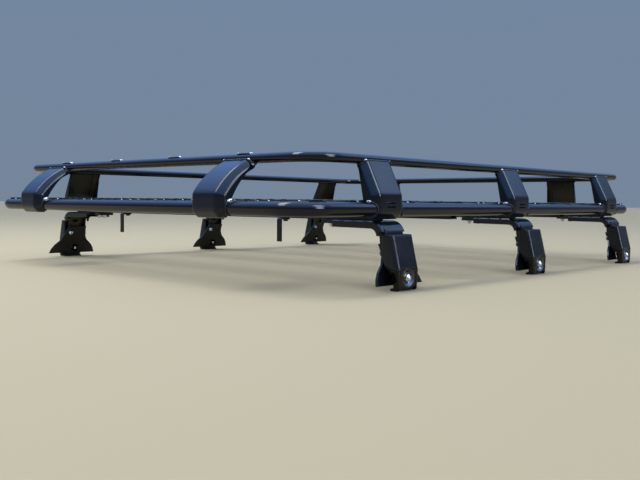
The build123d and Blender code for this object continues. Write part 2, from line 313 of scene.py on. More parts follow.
def made(name, verts, faces, material, smooth=True):
    mesh = bpy.data.meshes.new(name)
    mesh.from_pydata([tuple(v) for v in verts], [], faces)
    mesh.materials.append(material)
    if smooth:
        mesh.shade_smooth()
    piece = bpy.data.objects.new(name, mesh)
    bpy.context.scene.collection.objects.link(piece)
    return piece


def hoop(points, radii, sides, verts, faces, closed):
    first = len(verts)
    count = len(points)
    lift = None
    for i, p in enumerate(points):
        before = points[i - 1] if closed or i else points[0]
        after = points[(i + 1) % count] if closed or i < count - 1 else points[-1]
        along = (after - before).normalized()
        if lift is None:
            lift = Vector((0, 0, 1)) if abs(along.z) < 0.9 else Vector((1, 0, 0))
        lift = (lift - along * lift.dot(along)).normalized()
        beside = along.cross(lift)
        for k in range(sides):
            a = 2 * math.pi * k / sides
            verts.append(p + radii[i] * (math.cos(a) * lift + math.sin(a) * beside))
    rings = count if closed else count - 1
    for i in range(rings):
        j = (i + 1) % count
        for k in range(sides):
            n = (k + 1) % sides
            a, b = first + i * sides, first + j * sides
            faces.append((a + k, a + n, b + n, b + k))
    if not closed:
        faces.append(tuple(first + k for k in reversed(range(sides))))
        faces.append(tuple(first + (count - 1) * sides + k for k in range(sides)))


def loop_line(half_x, y_front, y_rear, z):
    line = []
    corners = [
        (half_x - bend_radius, y_rear - bend_radius, 0),
        (-half_x + bend_radius, y_rear - bend_radius, 90),
        (-half_x + bend_radius, y_front + bend_radius, 180),
        (half_x - bend_radius, y_front + bend_radius, 270),
    ]
    steps = 24
    for cx, cy, start in corners:
        for k in range(steps + 1):
            a = math.radians(start + 90 * k / steps)
            line.append(Vector((
                cx + bend_radius * math.cos(a), cy + bend_radius * math.sin(a), z,
            )))
    filled = []
    long_gap, span = 0.1, 0.06
    for i, p in enumerate(line):
        filled.append(p)
        q = line[(i + 1) % len(line)]
        gap = (q - p).length
        if gap > long_gap:
            cuts = int(gap / span)
            filled += [p.lerp(q, (c + 1) / (cuts + 1)) for c in range(cuts)]
    return filled


rail_paint = painted(
    "rail_paint", (0.0030, 0.0042, 0.0080), rough=0.10, ripple=0.5, dust=0.35,
    edge=0.0008, rub=0.2, worn=(0.10, 0.10, 0.11),
)
for node, half_x, y_front, z, radius in (
    ("upper_rail", upper_half_width, upper_front, upper_z, r_up),
    ("lower_rail", lower_half_width, -half_length, rail_height, r_low),
):
    verts, faces = [], []
    line = loop_line(half_x, y_front, half_length, z)
    hoop(line, [radius] * len(line), tube_sides, verts, faces, closed=True)
    tube = made(node + "_tube", verts, faces, rail_paint)
    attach(tube, "rack")
    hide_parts(node)

# Lamp tabs: four short flat bars with clipped corners, welded along the top of
# the front upper rail, with a small bead at each end.
tab_pitch = 0.260
tab_shift = 0.013
tab_rise = 0.0030
tab_z = upper_z + r_up - 0.0012
tab_corner = [(0.022, 0.003), (0.0205, 0.0056), (0.018, 0.007)]
# The tabs' colour is far lighter than the rails': a painted sheen standing in for the sky seen
# along their tops.
tab_paint = painted(
    "tab_paint", (0.030, 0.034, 0.040), rough=0.16, ripple=0.4, dust=0.5,
    edge=0.0006, rub=0.8, worn=(0.45, 0.45, 0.46),
)


def shaped(name, shape, material):
    # The bevel stores its parts in no fixed order, so they are sorted, and each
    # four-sided face starts at the same end of its diagonal.
    spots = sorted(shape.verts, key=lambda v: tuple(v.co))
    number = {v: i for i, v in enumerate(spots)}
    rings = []
    for face in shape.faces:
        ring = [number[v] for v in face.verts]
        start = 2 if len(ring) == 4 and ring[2] < ring[0] else 0
        rings.append(ring[start:] + ring[:start])
    piece = made(name, [v.co for v in spots], sorted(rings), material)
    shape.free()
    return piece


tab_ends = []
for i in (-1.5, -0.5, 0.5, 1.5):
    x, y, z = tab_shift + i * tab_pitch, upper_front, tab_z
    shape = bmesh.new()
    outline = []
    for sx, sy in ((1, 1), (-1, 1), (-1, -1), (1, -1)):
        edge = [(sx * a, sy * b) for a, b in tab_corner]
        outline += edge if sx * sy > 0 else edge[::-1]
    bottom = [shape.verts.new((x + a, y + b, z)) for a, b in outline]
    raised = bmesh.ops.extrude_face_region(shape, geom=[shape.faces.new(bottom)])
    top = [v for v in raised["geom"] if isinstance(v, bmesh.types.BMVert)]
    bmesh.ops.translate(shape, vec=(0, 0, tab_rise), verts=top)
    bmesh.ops.recalc_face_normals(shape, faces=shape.faces)
    geom = list(shape.edges)
    bmesh.ops.bevel(shape, geom=geom, offset=0.0006, segments=2, affect="EDGES")
    tab = shaped(f"lamp_tab_{int(i + 2.5)}", shape, tab_paint)
    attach(tab, "rack")
    tab_ends.append((x, y, z))

# Posts: wide channels pressed from 3 mm sheet, open towards the inside, with
# two drain slots low in each side post. The bends of the sheet are rounded.
post_look = dict(ripple=0.5, edge=0.0008, rub=0.25, worn=(0.12, 0.13, 0.15))
post_paint = painted(
    "post_paint", (0.0032, 0.0052, 0.0115), rough=0.16, dust=0.25, **post_look,
)
# The inward faces take a khaki colour, a painted reflection of a pale cream surface below.
post_inside = painted(
    "post_inside", (0.0240, 0.0228, 0.0140), rough=0.28, dust=0.30, **post_look,
)
leg_rows = [-0.555, 0.042, 0.639]
post_half = 0.054
post_bevel = 0.015
post_wall = 0.003
post_drop = 0.003
post_knee = 0.032
post_turn = 0.008
post_under = 0.003
end_post_x = 0.402
front_post_shift = -0.015
rear_post_shift = -0.006
side_post_shift = {"left": (0.0, -0.014, -0.009), "right": (0.004, 0.0, 0.004)}
seat = 0.0032
floor_z = rail_height + r_low
drain_slots = ((0.1790, 0.1830), (0.1875, 0.1915))
post_kinds = {  # lean, stand, heel, bulge, slots
    "side": (side_lean, 0.0, -r_low, 0.0, drain_slots),
    "front": (front_lean, 0.014, 0.002, 0.008, ()),
    "rear": (0.0, 0.014, 0.002, 0.0, ()),
}
both_sides = (("left", 1), ("right", -1))
post_places = {}
for side, s in both_sides:
    for i, slip in enumerate(side_post_shift[side]):
        post_places[f"post_{side}_{i + 1}"] = (
            "side", s * upper_half_width, leg_rows[i] + slip, 0 if s == 1 else 180,
        )
    x = s * end_post_x
    post_places[f"post_front_{side}"] = ("front", x + front_post_shift, upper_front, -90)
    post_places[f"post_rear_{side}"] = ("rear", x + rear_post_shift, half_length, 90)


def arc_points(a, b, bulge, steps):
    if not bulge:
        return [a, b]
    middle = (a + b) / 2
    chord = b - a
    out = Vector((-chord.y, chord.x)).normalized()
    half = chord.length / 2
    radius = (half * half + bulge * bulge) / (2 * bulge)
    centre = middle + out * (bulge - radius)
    sweep = math.asin(half / radius)
    line = []
    for k in range(steps + 1):
        t = -sweep + 2 * sweep * k / steps
        line.append(centre + out * radius * math.cos(t) + chord.normalized() * radius * math.sin(t))
    return line


def rounded(line, at, radius, steps):
    a, p, b = line[at - 1], line[at], line[at + 1]
    into, away = (p - a).normalized(), (b - p).normalized()
    half = math.acos(max(-1, min(1, into.dot(away)))) / 2
    cut = radius * math.tan(half)
    first, last = p - into * cut, p + away * cut
    ring = []
    for k in range(steps + 1):
        t = k / steps
        ring.append((1 - t) ** 2 * first + 2 * t * (1 - t) * p + t * t * last)
    return line[:at] + ring + line[at + 1:]


def section(wall, round_radius):
    half, bevel = post_half - wall, post_bevel - wall * (2 - math.sqrt(2))
    line = [
        Vector((wall, 0)), Vector((wall, half - bevel)),
        Vector((wall + bevel, half)), Vector((wall + bevel + 0.008, half)),
    ]
    line = rounded(line, at=2, radius=round_radius, steps=6)
    line = rounded(line, at=1, radius=round_radius, steps=6)
    line[0:1] = [Vector((wall, 0)), Vector((wall, 0.015)), Vector((wall, 0.030))]
    return line[:-1]


def mitred(line, depth):
    moved = []
    for i, p in enumerate(line):
        into = (p - line[i - 1]).normalized() if i else (line[1] - p).normalized()
        away = (line[i + 1] - p).normalized() if i < len(line) - 1 else into
        along = (into + away).normalized()
        moved.append(p + Vector((along.y, -along.x)) * depth / along.dot(into))
    return moved


def along_line(line, share):
    lengths = [(b - a).length for a, b in zip(line, line[1:])]
    left = share * sum(lengths)
    for a, b, long in zip(line, line[1:], lengths):
        if left <= long:
            return a.lerp(b, left / long)
        left -= long
    return line[-1]


def post_mesh(kind):
    lean, stand, heel, bulge, slots = post_kinds[kind]
    face_x = lean + r_low + seat + stand
    under = rail_height - r_low - seat - post_under
    turn = rail_height - post_turn
    top = Vector((r_up + seat, upper_z - post_drop))
    knee = Vector((face_x, rail_height + post_knee))
    sharp = arc_points(top, knee, bulge, steps=14)
    bends = [len(sharp) - 1, len(sharp), len(sharp) + 1]
    sharp += [
        Vector((face_x, turn)), Vector((face_x - (turn - under), under)), Vector((lean, under)),
    ]
    bend_radii = {bends[0]: 0.024, bends[1]: 0.010, bends[2]: 0.010}
    slot_rows = [0.195] + [z for slot in drain_slots for z in slot]
    tail_from = 0.1880
    stations = []
    for k, (a, b) in enumerate(zip(sharp, sharp[1:])):
        cuts = {0.0, 1.0}
        if k in bends:
            cuts |= {0.05, 0.11, 0.24}
        if k + 1 in bends:
            cuts |= {0.76, 0.89, 0.95}
        if k == bends[0]:
            cuts |= {(a.y - z) / (a.y - b.y) for z in slot_rows}
        cuts = sorted({round(t, 6) for t in cuts})
        stations += [(k, t) for t in cuts if t or not k]
    outline = []
    for k, t in stations:
        p = sharp[k].lerp(sharp[k + 1], t)
        shift = Vector((0, 0))
        for bend in bends:
            a, c, b = sharp[bend - 1], sharp[bend], sharp[bend + 1]
            half = math.acos((c - a).normalized().dot((b - c).normalized())) / 2
            cut = bend_radii[bend] * math.tan(half)
            far = (p - c).length
            if far < cut:
                inside = ((a - c).normalized() + (b - c).normalized()).normalized()
                shift = inside * (cut - far) ** 2 / (4 * cut) * 2 * math.sin(half)
        outline.append((k, t, shift))
    low_end = Vector((lean + heel, floor_z - 0.003))
    high_end = Vector((-0.001, upper_z - r_up))
    back = arc_points(high_end, low_end, bulge, steps=14)
    tail = [
        low_end, Vector((low_end.x + 0.002, rail_height + 0.007)),
        Vector((lean, rail_height)), Vector((lean, rail_height - 0.004)),
    ]
    heights = [sharp[k].lerp(sharp[k + 1], t) for k, t in stations]
    split = min(i for i, p in enumerate(heights) if p.y < tail_from)
    ends = [along_line(back, i / split) for i in range(split)]
    rest = len(stations) - split
    ends += [along_line(tail, i / (rest - 1)) for i in range(rest)]
    verts, faces = [], []
    shells = []
    for wall, radius in ((0.0, 0.0140), (post_wall, 0.0110)):
        profile = section(wall, radius)
        layers = [mitred(sharp, q.x) for q in profile]
        grid = []
        for i, (k, t, shift) in enumerate(outline):
            half_row = []
            for q, layer in zip(profile, layers):
                at = layer[k].lerp(layer[k + 1], t) + shift * max(0.0, 1 - q.x / post_bevel)
                half_row.append((at, q.y))
            half_row.append((ends[i], post_half - wall))
            row = []
            for at, y in [(at, -y) for at, y in half_row[:0:-1]] + half_row:
                row.append(len(verts))
                verts.append(Vector((at.x, y, at.y)))
            grid.append(row)
        shells.append(grid)
    outer, inner = shells
    rows, columns = len(outline), len(outer[0])
    insides = []
    middle = columns // 2

    def is_open(i, j):
        if j not in (middle - 1, middle):
            return False
        here = (heights[i + 1].y, heights[i].y)
        return any(max(abs(a - b) for a, b in zip(here, slot)) < 1e-6 for slot in slots)

    for i in range(rows - 1):
        for j in range(columns - 1):
            if is_open(i, j):
                continue
            skin, lining = [
                (grid[i][j], grid[i + 1][j], grid[i + 1][j + 1], grid[i][j + 1]) for grid in shells
            ]
            faces.append(skin)
            insides.append(len(faces))
            faces.append((lining[0], lining[3], lining[2], lining[1]))
    for i in range(rows - 1):
        faces.append((outer[i][0], inner[i][0], inner[i + 1][0], outer[i + 1][0]))
        faces.append((outer[i + 1][-1], inner[i + 1][-1], inner[i][-1], outer[i][-1]))
        if is_open(i, middle):
            l, r = middle - 1, middle + 1
            faces.append((outer[i][l], outer[i + 1][l], inner[i + 1][l], inner[i][l]))
            faces.append((inner[i][r], inner[i + 1][r], outer[i + 1][r], outer[i][r]))
            for k in (l, middle):
                faces.append((outer[i][k], inner[i][k], inner[i][k + 1], outer[i][k + 1]))
                a, b = outer[i + 1], inner[i + 1]
                faces.append((a[k + 1], b[k + 1], b[k], a[k]))
    for j in range(columns - 1):
        faces.append((outer[0][j + 1], inner[0][j + 1], inner[0][j], outer[0][j]))
        faces.append((outer[-1][j], inner[-1][j], inner[-1][j + 1], outer[-1][j + 1]))
    return verts, faces, insides


def placed(verts, x, y, degrees):
    spin = Matrix.Translation((x, y, 0)) @ Matrix.Rotation(math.radians(degrees), 4, "Z")
    return [spin @ v for v in verts]


def faced_outwards(piece):
    shape = bmesh.new()
    shape.from_mesh(piece.data)
    bmesh.ops.recalc_face_normals(shape, faces=shape.faces)
    shape.to_mesh(piece.data)
    shape.free()


for name, (kind, x, y, degrees) in post_places.items():
    verts, faces, insides = post_mesh(kind)
    post = made(name + "_pressed", placed(verts, x, y, degrees), faces, post_paint)
    # The inward faces get the painted reflection colour.
    post.data.materials.append(post_inside)
    for face in insides:
        post.data.polygons[face].material_index = 1
    faced_outwards(post)
    post.data.set_sharp_from_angle(angle=math.radians(38))
    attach(post, "rack")
    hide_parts(name)

# Weld beads: rippled runs of weld metal laid round each post where it meets
# the two tubes, painted over with the rest in a lighter colour that is a painted
# sheen; short runs of bright weld metal lie where glints fall, partly bare metal
# and partly painted highlight.
# The beads' colour is lighter than the posts': a painted sheen for the sky seen off their tops.
bead_paint = painted(
    "bead_paint", (0.016, 0.019, 0.025), rough=0.12, ripple=0.8, dust=0.2,
    edge=0.0004, rub=0.8, worn=(0.55, 0.55, 0.56),
)
# Bright weld metal laid where glints fall: partly bare metal, partly a painted highlight.
bare_glint_weld, t, shader = blank("bare_glint_weld")
place = add(t, "ShaderNodeTexCoord")
crust = noise(t, place, scale=700.0, detail=4.0)
glint = mapped(t, crust, (0.35, 0.65))
tone = mixed(t, glint, (0.55, 0.56, 0.58, 1), (0.90, 0.90, 0.90, 1))
t.links.new(tone, shader.inputs["Base Color"])
t.links.new(mapped(t, crust, (0.3, 0.7), onto=(0.20, 0.50)), shader.inputs["Roughness"])
shader.inputs["Metallic"].default_value = 0.75
bumped(t, shader, {"Height": crust}, strength=0.5, distance=0.0006)
bead_sides = 8
lobe = random.Random(7)


def bead(points, radius, verts, faces, pitch=0.0026):
    run = [points[0]]
    for a, b in zip(points, points[1:]):
        cuts = max(1, round((b - a).length / (pitch / 4)))
        run += [a.lerp(b, (c + 1) / cuts) for c in range(cuts)]
    radii = []
    wide = 1.0
    for i in range(len(run)):
        if i % 4 == 0:
            wide = lobe.uniform(0.88, 1.12)
        ends = min(1.0, 0.45 + 0.2 * min(i, len(run) - 1 - i))
        radii.append(radius * ends * wide * (1 + 0.10 * math.sin(i * math.pi / 2)))
    hoop(run, radii, bead_sides, verts, faces, closed=False)


def low_arc(kind, angles, sy, proud, spread):
    lean, stand = post_kinds[kind][:2]
    arc = []
    for a in angles:
        x = math.cos(math.radians(a)) * r_low
        z = math.sin(math.radians(a)) * r_low
        strip = r_low + seat + stand + post_half - post_bevel - x
        y = min(post_half, strip) + proud
        arc.append(Vector((lean + x * spread, sy * y, rail_height + z * spread)))
    return arc


def post_beads(kind):
    lean, stand = post_kinds[kind][:2]
    verts, faces = [], []
    slope = (lean + r_low + stand - r_up) / (upper_z - post_drop - rail_height - post_knee)
    side = []
    for a in range(-98, -10, 6):
        x = math.cos(math.radians(a)) * r_up
        z = math.sin(math.radians(a)) * r_up
        strip = r_up + seat + slope * (-post_drop - z) + post_half - post_bevel - x
        y = min(post_half, strip) + 0.0008
        side.append(Vector((x * 1.07, y, upper_z + z * 1.07)))
    side.append(Vector((r_up + seat * 0.55, post_half - post_bevel - 0.001, upper_z - 0.0022)))
    mirror = [Vector((p.x, -p.y, p.z)) for p in reversed(side)]
    bead(side + mirror, 0.0021, verts, faces)
    angles = range(140 if kind == "side" else 92, -92, -8)
    for sy in (1, -1):
        arc = low_arc(kind, angles, sy, proud=0.0010, spread=1.05)
        bead(arc, 0.0016, verts, faces)
    return verts, faces


# Short bright runs where the lower tube's top and the post's top corner catch glints: painted
# highlights in part.
def bare_glint_runs(kind):
    verts, faces = [], []
    angles, radius = (range(108, 66, -6), 0.0029) if kind == "side" else (range(96, 46, -6), 0.0037)
    for sy in (1, -1):
        arc = low_arc(kind, angles, sy, proud=0.0016, spread=1.10)
        bead(arc, radius, verts, faces, pitch=0.0040)
        high = (r_up + seat * 0.7, sy * (post_half - post_bevel + 0.001), upper_z - 0.001)
        low = (r_up + seat - 0.0075, sy * (post_half - 0.006), upper_z - 0.0035)
        high, low = Vector(high), Vector(low)
        bead([high, high.lerp(low, 0.5), low], 0.0022, verts, faces, pitch=0.0036)
    return verts, faces


# Bright beads at each tab end, in part painted highlights for the glints there.
verts, faces = [], []
for x, y, z in tab_ends:
    for sx in (1, -1):
        ends = [Vector((x + sx * 0.0215, y + sy * 0.0048, z + 0.0023)) for sy in (-1, 1)]
        bead(ends, 0.0018, verts, faces, pitch=0.0034)
tab_weld = made("lamp_tab_welds", verts, faces, bare_glint_weld)
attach(tab_weld, "rack")
for name, (kind, x, y, degrees) in post_places.items():
    for label, runs, material, slot in (
        ("post_bare_weld", bare_glint_runs, bare_glint_weld, "bright_steel"),
        ("post_bead", post_beads, bead_paint, "gloss_black"),
    ):
        verts, faces = runs(kind)
        turned_in = placed(verts, x, y, degrees)
        weld = made(name.replace("post", label), turned_in, faces, material)
        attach(weld, "rack")

# Floor: one sheet of raised expanded steel, long diamonds pointing fore and
# aft, with strands that lean over and join at their knuckles, laid on the rail.
floor_paint = painted(
    "floor_paint", (0.006, 0.007, 0.009), rough=0.24, ripple=0.4, dust=0.5,
    edge=0.0005, rub=0.5, worn=(0.30, 0.30, 0.31),
)
diamond_wide = 0.036
diamond_long = 0.1016
strand_half = 0.0023
strand_thick = 0.0016
knuckle_half = 0.0055
floor_low = rail_height + r_low + 0.0001
strand_rise = 0.0004
strand_cuts = 6
trim_steps = 12
straight = 0.99999
shortest_run = 0.004
tack_lift = 0.0006
tack_ends = (-0.001, 0.005)
tack_pitch = 0.003
bare_glint_share = 0.3
notch_deep = r_low + 0.004
notch_half = 0.055


def on_floor(x, y):
    ax, ay = abs(x), abs(y)
    if ax > lower_half_width or ay > half_length:
        return False
    cx, cy = ax - (lower_half_width - bend_radius), ay - (half_length - bend_radius)
    if cx > 0 and cy > 0 and math.hypot(cx, cy) > bend_radius:
        return False
    at_side, at_end = ax > lower_half_width - notch_deep, ay > half_length - notch_deep
    for kind, px, py, degrees in post_places.values():
        if kind == "side" and at_side and x * px > 0 and abs(y - py) < notch_half:
            return False
        if kind != "side" and at_end and y * py > 0 and abs(x - px) < notch_half:
            return False
    return True


verts, faces = [], []
tack_verts, tack_faces = [], []
bare_glint_verts, bare_glint_faces = [], []
lean_over = math.radians(33)
blade = Vector((math.cos(lean_over), 0, math.sin(lean_over)))
thick = Vector((-math.sin(lean_over), 0, math.cos(lean_over)))
floor_mid = floor_low + 0.0020
rows = int(2 * lower_half_width / (diamond_wide / 2)) + 2
half_wave = diamond_long / 2
for k in range(rows):
    centre = (k - rows // 2 + 0.5) * diamond_wide / 2
    waves = int(rail_length / half_wave) + 2
    path = []
    for w in range(waves + 1):
        y = (w - waves / 2) * half_wave
        sway = 1 if (w + k) % 2 == 0 else -1
        x, z = centre + diamond_wide / 4 * sway, floor_mid + strand_rise * sway
        path += [Vector((x, y - knuckle_half, z)), Vector((x, y + knuckle_half, z))]
    fine = [path[0]]
    for a, b in zip(path, path[1:]):
        cuts = 1 if (b - a).length < 3 * knuckle_half else strand_cuts
        fine += [a.lerp(b, (c + 1) / cuts) for c in range(cuts)]
    runs, run = [], []
    for p, q in zip(fine, fine[1:]):
        inside_p, inside_q = on_floor(p.x, p.y), on_floor(q.x, q.y)
        if inside_p and not run:
            run = [p]
        if inside_p != inside_q:
            low, high = (p, q) if inside_p else (q, p)
            for _ in range(trim_steps):
                middle = (low + high) / 2
                if on_floor(middle.x, middle.y):
                    low = middle
                else:
                    high = middle
            if inside_p:
                run.append(low)
                runs.append(run)
                run = []
            else:
                run = [low, q]
        elif inside_q:
            run.append(q)
    if run:
        runs.append(run)
    for run in runs:
        keep = [run[0]]
        for a, p, b in zip(run, run[1:], run[2:]):
            if (p - a).normalized().dot((b - p).normalized()) < straight:
                keep.append(p)
        keep.append(run[-1])
        if (keep[-1] - keep[0]).length < shortest_run:
            continue
        for tip, nxt in ((keep[0], keep[1]), (keep[-1], keep[-2])):
            inwards = (nxt - tip).normalized()
            spot = Vector((tip.x, tip.y, floor_low + tack_lift))
            ends = [spot + inwards * reach for reach in tack_ends]
            # About a third of the tacks are bright weld metal: in part painted highlights for the
            # glints along the rail top.
            if lobe.random() < bare_glint_share:
                bead(ends, 0.0022, bare_glint_verts, bare_glint_faces, tack_pitch)
            else:
                bead(ends, 0.0020, tack_verts, tack_faces, tack_pitch)
        first = len(verts)
        for p in keep:
            for w, t in ((-1, -1), (1, -1), (1, 1), (-1, 1)):
                verts.append(p + blade * strand_half * w + thick * strand_thick / 2 * t)
        for n in range(len(keep) - 1):
            for c in range(4):
                d = (c + 1) % 4
                a, b = first + 4 * n, first + 4 * n + 4
                faces.append((a + c, b + c, b + d, a + d))
        last = first + 4 * (len(keep) - 1)
        faces.append((first, first + 1, first + 2, first + 3))
        faces.append((last + 3, last + 2, last + 1, last))
mesh_floor = made("mesh_floor", verts, faces, floor_paint, smooth=False)
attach(mesh_floor, "rack")
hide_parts("floor_lower", "floor_upper")
for name, spots, skins, material, slot in (
    ("floor_tacks", tack_verts, tack_faces, bead_paint, "floor_black"),
    ("floor_bare_tacks", bare_glint_verts, bare_glint_faces, bare_glint_weld, "bright_steel"),
):
    tack = made(name, spots, skins, material)
    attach(tack, "rack")

# Cross bars: five lengths of box tube from side to side under the floor,
# welded to the inner side of the lower rail.
bar_paint = painted(
    "bar_paint", (0.005, 0.006, 0.008), rough=0.24, ripple=0.5, dust=0.3,
    edge=0.0015, rub=0.4, worn=(0.25, 0.25, 0.26),
)


def coat(start, material):
    for name in nodes:
        if name.startswith(start):
            nodes[name].data.materials.clear()
            nodes[name].data.materials.append(material)


coat("cross_bar_", bar_paint)

# Arms and feet: heavy pressed channels bent down past the rail and bolted
# through the bar above, over flared 5 mm plates. Both are painted with the rack,
# and their inward faces take a khaki colour, a painted reflection of a pale surface below.
def inward_reflection():
    reach = [("Reach", "NodeSocketFloat", 0.9)]
    g, inside, outside = group("inward_reflection", reach, [("Mask", "NodeSocketFloat")])
    place = add(g, "ShaderNodeTexCoord")
    where = add(g, "ShaderNodeSeparateXYZ", {0: place.outputs["Object"]})
    facing = add(g, "ShaderNodeSeparateXYZ", {0: place.outputs["Normal"]})
    hand = add(g, "ShaderNodeMath", {0: where.outputs["X"]}, operation="SIGN")
    inwards = times(g, hand.outputs[0], facing.outputs["X"])
    mask = mapped(g, inwards, (-0.45, -0.85))
    g.links.new(times(g, mask, inside.outputs["Reach"]), outside.inputs["Mask"])
    return g


inward_reflection_group = inward_reflection()


def laid_over(material, mask, colour):
    t = material.node_tree
    base = t.nodes["Principled BSDF"].inputs["Base Color"]
    whole = base.links[0].from_socket
    t.links.new(mixed(t, mask, whole, (*colour, 1)), base)


arm_paint = painted(
    "arm_paint", (0.0045, 0.0060, 0.0100), rough=0.16, ripple=0.5, dust=0.4,
    edge=0.0020, rub=0.35, worn=(0.30, 0.30, 0.31),
)
foot_paint = painted(
    "foot_paint", (0.0040, 0.0048, 0.0070), rough=0.20, ripple=0.6, dust=0.4,
    edge=0.0010, rub=0.5, worn=(0.30, 0.30, 0.31),
)
# The colours laid on the inward faces are painted reflections.
for start, material, inner_reflection_colour in (
    ("arm_", arm_paint, (0.042, 0.039, 0.024)),
    ("foot_", foot_paint, (0.012, 0.0115, 0.008)),
):
    settings = {"Reach": 0.9}
    inner = add(material.node_tree, "ShaderNodeGroup", settings, node_tree=inward_reflection_group)
    laid_over(material, inner.outputs["Mask"], inner_reflection_colour)
    coat(start, material)

# Slot covers: a thin doubler closes each arm's neck slot from outside, flush
# with the bend, so that nothing shows through the neck.
bend_x, bend_z, bend_out = lower_half_width - 0.007, 0.116, 0.035
cover_half = 0.0305
cover_skins = (0.0002, 0.0014)
neck_turn = math.radians(80.8)
cover_line = [(math.radians(a), 0.0) for a in range(58, 81, 4)]
cover_line += [(neck_turn, drop) for drop in (0.0, 0.006, 0.0115)]
shade_face = painted(
    "slot_shade_black", (0.0020, 0.0022, 0.0026), rough=0.60, ripple=0.2, dust=0.1,
    edge=0.0004, rub=0.1, worn=(0.05, 0.05, 0.05),
)
legs = [(f"{side}_{i + 1}", s, y) for side, s in both_sides for i, y in enumerate(leg_rows)]
for leg, s, y in legs:
    verts, faces = [], []
    for a, drop in cover_line:
        for out in cover_skins:
            x = bend_x + (bend_out + out) * math.sin(a) + drop * math.cos(a)
            z = bend_z + (bend_out + out) * math.cos(a) - drop * math.sin(a)
            for across_y in (-cover_half, cover_half):
                verts.append(Vector((s * x, y + s * across_y, z)))
    last = 4 * (len(cover_line) - 1)
    for a in range(0, last, 4):
        faces += [(a + 2, a + 6, a + 7, a + 3), (a + 1, a + 5, a + 4, a)]
        faces += [(a, a + 4, a + 6, a + 2), (a + 3, a + 7, a + 5, a + 1)]
    faces += [(0, 2, 3, 1), (last + 1, last + 3, last + 2, last)]
    cover = made(f"slot_cover_{leg}", verts, faces, arm_paint)
    cover.data.set_sharp_from_angle(angle=math.radians(40))
    # The cover's inward face is matt near-black: painted shade for the slot as seen from inside the
    # arm.
    cover.data.materials.append(shade_face)
    for face in cover.data.polygons:
        if face.normal.dot(Vector((s, 0, 0.2))) < -0.5:
            face.material_index = 1
    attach(cover, "rack")

# Clamps: a pressed cap over a hooked jaw, in a duller slate black that shows
# rubbed bends; each hangs on a pin and is drawn in by its bolt.
clamp_paint = painted(
    "clamp_paint", (0.0060, 0.0075, 0.0110), rough=0.26, ripple=0.7, dust=0.3,
    edge=0.0028, rub=0.5, worn=(0.34, 0.34, 0.36),
)
jaw_colour = (0.0012, 0.0014, 0.0018)
t = clamp_paint.node_tree
place = add(t, "ShaderNodeTexCoord")
height = add(t, "ShaderNodeSeparateXYZ", {0: place.outputs["Object"]})
low_down = mapped(t, height.outputs["Z"], (0.0440, 0.0465), onto=(1.0, 0.0))
laid_over(clamp_paint, low_down, jaw_colour)
coat("clamp_", clamp_paint)

# Cap skins: the outer press-work of each cap, whose folds have a large radius
# and whose rim turns in, standing 1 mm proud of the cap beneath.
bolt_z = 0.028
arch_radius = 0.0219
cap_top, cap_low, cap_top_x, cap_low_x = 0.1218, 0.0452, 0.702, 0.721
cap_half, flat_half, cap_corner, fold = 0.038, 0.032, 0.006, 0.0100
foot_x, foot_z, foot_slope = 0.694, 0.012, 0.3315
arm_face_x, foot_gap = 0.6765, 0.0035
sheet_thick = 0.0007


def cap_section(out, depth):
    line = [
        Vector((-out, 0)), Vector((-out, flat_half + 0.414 * out)),
        Vector((cap_corner - 0.414 * out, cap_half + out)), Vector((depth, cap_half + out)),
    ]
    line = rounded(line, at=2, radius=fold, steps=8)
    line = rounded(line, at=1, radius=fold, steps=8)
    flat = [line[0].lerp(line[1], t) for t in (0, 0.15, 0.3, 0.45, 0.6, 0.8)]
    back = [line[-2].lerp(line[-1], t) for t in (0.5, 0.94)]
    rim = [Vector((depth, cap_half + out - 0.0004)), Vector((depth + 0.0002, cap_half - 0.0002))]
    return flat + line[1:-1] + back + rim


cap_rows = [(0.0, -0.0003), (0.002, 0.0004), (0.008, 0.0008), (0.02, 0.0010)]
cap_rows += [(t / 10, 0.0010) for t in range(1, 10)]
cap_rows += [(0.98, 0.0010), (0.992, 0.0008), (0.998, 0.0004), (1.0, -0.0003)]
for leg, s, y in legs:
    verts, faces = [], []
    for t, out in cap_rows:
        half_row = []
        for k, point in enumerate(cap_section(out, 0.0)):
            arch = 0.0
            if point.y < arch_radius:
                arch = bolt_z + math.sqrt(max(0.0, arch_radius ** 2 - point.y ** 2))
            z = cap_top + (max(cap_low, arch) - cap_top) * t
            web_x = cap_top_x + (cap_low_x - cap_top_x) * (cap_top - z) / (cap_top - cap_low)
            depth = web_x - max(arm_face_x, foot_x - (z - foot_z) * foot_slope + foot_gap)
            spot = cap_section(out, depth)[k]
            half_row.append(Vector((web_x - spot.x, spot.y, z)))
        for v in [Vector((v.x, -v.y, v.z)) for v in half_row[:0:-1]] + half_row:
            verts.append(Vector((s * v.x, y + v.y, v.z)))
    wide = 2 * len(half_row) - 1
    for r in range(len(cap_rows) - 1):
        for c in range(wide - 1):
            a = r * wide + c
            face = (a, a + 1, a + wide + 1, a + wide)
            faces.append(face if s < 0 else (face[0], face[3], face[2], face[1]))
    skin = made(f"cap_skin_{leg}", verts, faces, clamp_paint)
    sheet = skin.modifiers.new("sheet", "SOLIDIFY")
    sheet.thickness = sheet_thick
    sheet.offset = -1
    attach(skin, f"jaw_{leg}")

